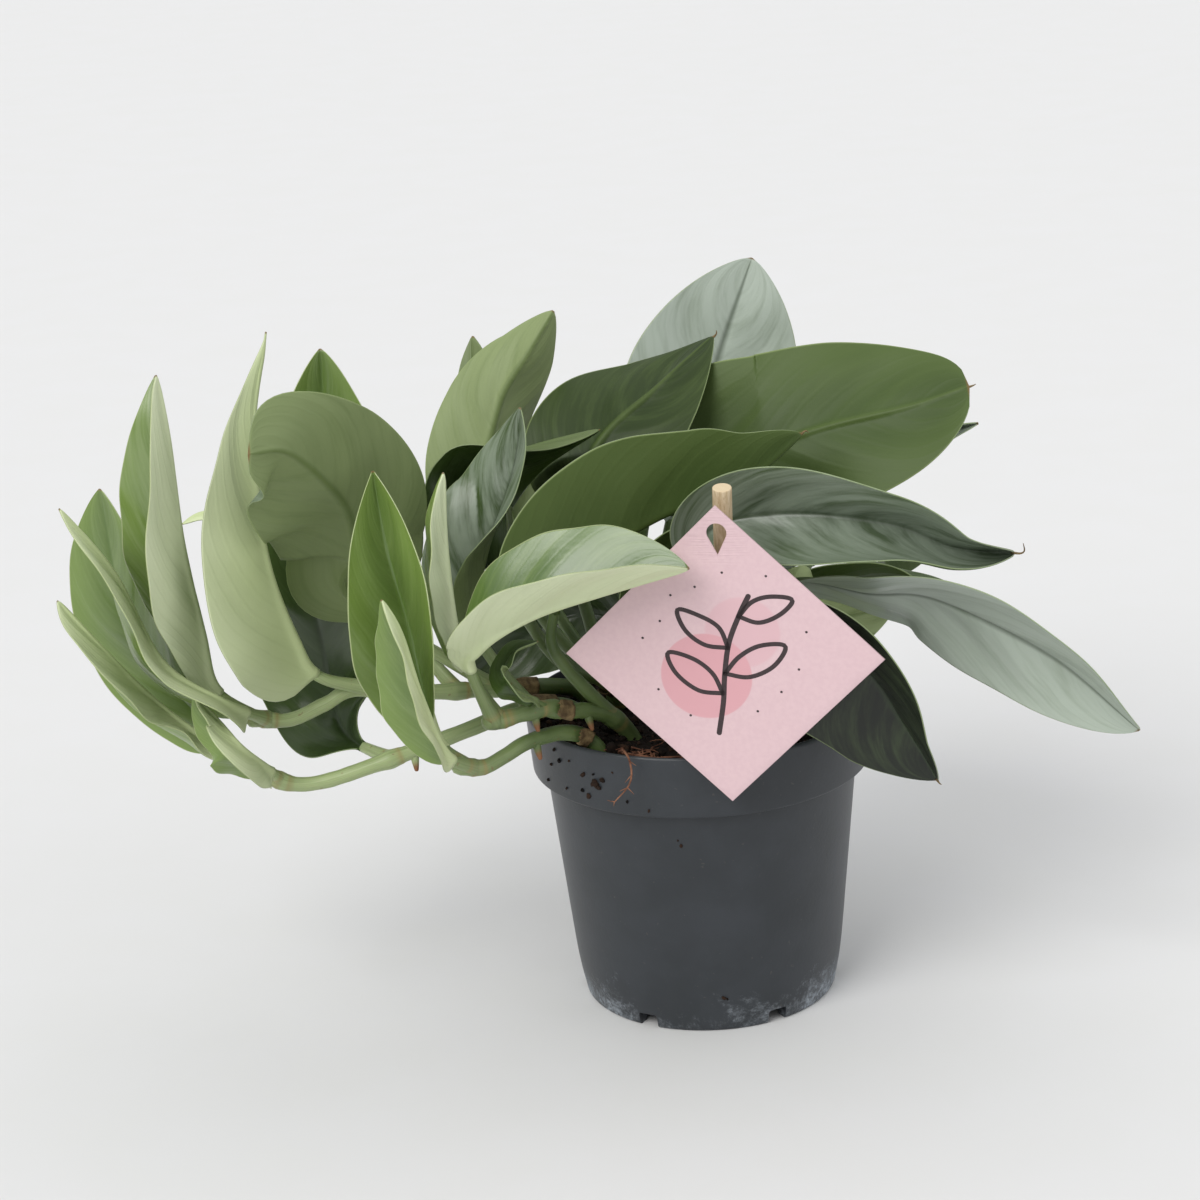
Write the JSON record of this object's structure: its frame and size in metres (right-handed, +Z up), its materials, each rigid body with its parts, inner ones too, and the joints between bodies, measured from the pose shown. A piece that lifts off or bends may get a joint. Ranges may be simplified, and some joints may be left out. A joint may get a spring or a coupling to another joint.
{
  "type": "potted moonlight scindapsus",
  "caption": "Trailing aroid with oblique leathery leaves on arching stems, in a round nursery pot of soil, with a square card on a wooden stick.",
  "frame": {"origin": "centre of the pot's foot, on the surface it stands on", "axes": "+Z up, +Y away from the front, +X to the right as seen from the front"},
  "size_m": [0.3538, 0.2243, 0.2434],
  "materials": {
    "pot": "anthracite moulded plastic, satin, with limescale at the foot",
    "soil": "dark moist potting soil with fibres",
    "stem": "smooth fleshy green stem, satin",
    "leaf_young": "young leaf, yellow-green above and pale grey-green beneath, waxy",
    "leaf_grown": "grown leaf, silvery blue-green above and olive green beneath, waxy",
    "stick": "pale unfinished round wood",
    "card": "coated pink card with soft discs and a plain line sprig",
    "root": "dry red-brown roots"
  },
  "bodies": {
    "root": {"pot": "pot", "soil": "soil", "vine_front": "stem", "vine_rim": "stem", "vine_low": "stem", "vine_high": "stem", "crown_left": "stem", "crown_right": "stem", "crown_back": "stem", "crown_far": "stem", "leaf_far_low": "leaf_young", "leaf_far_green": "leaf_young", "leaf_far_sheath": "leaf_young", "leaf_left_dark": "leaf_grown", "leaf_far_tall": "leaf_young", "leaf_far_slim": "leaf_young", "leaf_left_cupped": "leaf_young", "leaf_left_peak": "leaf_young", "leaf_left_arching": "leaf_grown", "leaf_left_thin": "leaf_young", "leaf_front_green": "leaf_young", "leaf_front_rolled": "leaf_young", "leaf_front_slim": "leaf_young", "leaf_front_twisted": "leaf_grown", "leaf_front_wide": "leaf_young", "leaf_small": "leaf_grown", "leaf_middle_broad": "leaf_grown", "leaf_top_pale": "leaf_grown", "leaf_top_hidden": "leaf_grown", "leaf_middle_blue": "leaf_grown", "leaf_top_dark": "leaf_grown", "leaf_middle_edge": "leaf_grown", "leaf_top_silver": "leaf_grown", "leaf_right_broad": "leaf_grown", "leaf_right_curled": "leaf_grown", "leaf_right_silver": "leaf_grown", "leaf_right_long": "leaf_grown", "leaf_right_short": "leaf_grown", "leaf_right_drooping": "leaf_grown", "leaf_right_under": "leaf_grown", "leaf_behind_label": "leaf_grown", "leaf_back_right": "leaf_grown", "leaf_back_middle": "leaf_grown", "leaf_back_left": "leaf_grown", "leaf_back_low": "leaf_grown", "label_stick": "stick", "label_card": "card", "surface_roots": "root"}
  },
  "joints": []
}
